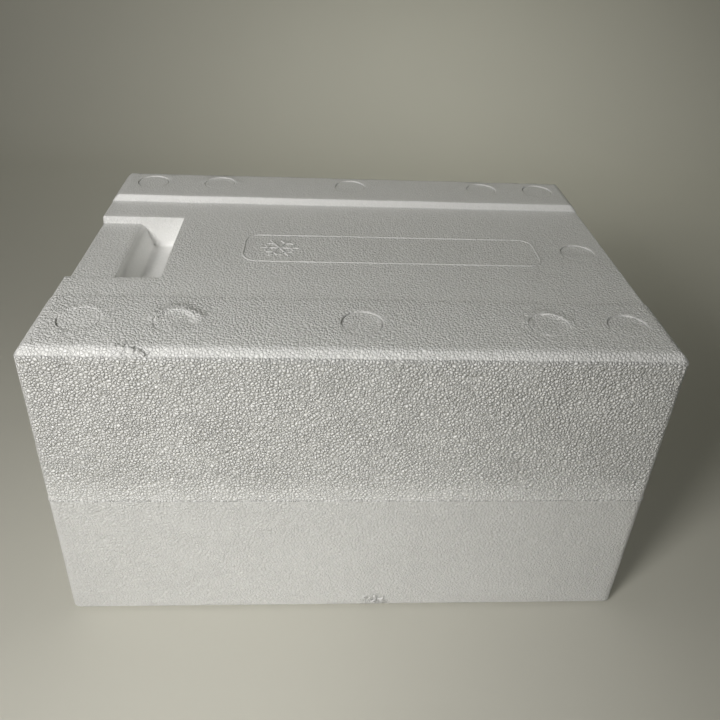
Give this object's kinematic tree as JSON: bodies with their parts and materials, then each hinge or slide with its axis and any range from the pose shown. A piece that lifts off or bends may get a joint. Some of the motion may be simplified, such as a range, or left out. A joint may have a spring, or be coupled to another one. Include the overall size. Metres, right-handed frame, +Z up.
{
  "type": "insulated foam shipping box",
  "caption": "White moulded polystyrene foam box with a deep base and a deep lift-off lid, a shallow channel along the top and a finger slot at one end.",
  "frame": {"origin": "centre of the face that the box stands on", "axes": "+X along the box away from the finger slot's end, +Y towards the back, +Z up"},
  "size_m": [0.4208, 0.3008, 0.24],
  "materials": {
    "foam_base": "moulded expanded polystyrene with a rubbed, nearly smooth skin",
    "foam_lid": "moulded expanded polystyrene with its beads showing"
  },
  "bodies": {
    "base": {"base": "foam_base"},
    "lid": {"lid": "foam_lid"}
  },
  "joints": [
    {"name": "lid_lift", "type": "slide", "parent": "base", "child": "lid", "axis": [0, 0, 1], "range_m": [0, 0.16]}
  ]
}
